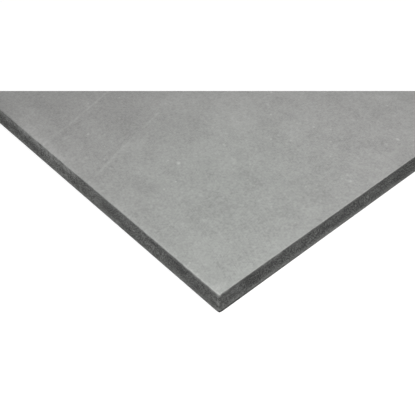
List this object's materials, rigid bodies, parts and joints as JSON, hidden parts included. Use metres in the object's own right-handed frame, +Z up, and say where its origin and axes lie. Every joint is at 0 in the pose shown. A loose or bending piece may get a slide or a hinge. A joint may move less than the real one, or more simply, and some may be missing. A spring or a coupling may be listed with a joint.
{
  "type": "mdf board",
  "caption": "Flat rectangular panel of medium density fibreboard dyed grey right through, with sanded faces and darker sawn sides, for cutting and building with.",
  "frame": {"origin": "middle of the underside, on the floor that the panel lies on", "axes": "+X along the length, +Y along the width, +Z up through the thickness"},
  "size_m": [1.22, 0.61, 0.019],
  "materials": {
    "grey_fibreboard": "matte"
  },
  "bodies": {
    "root": {"board": "grey_fibreboard"}
  },
  "joints": []
}
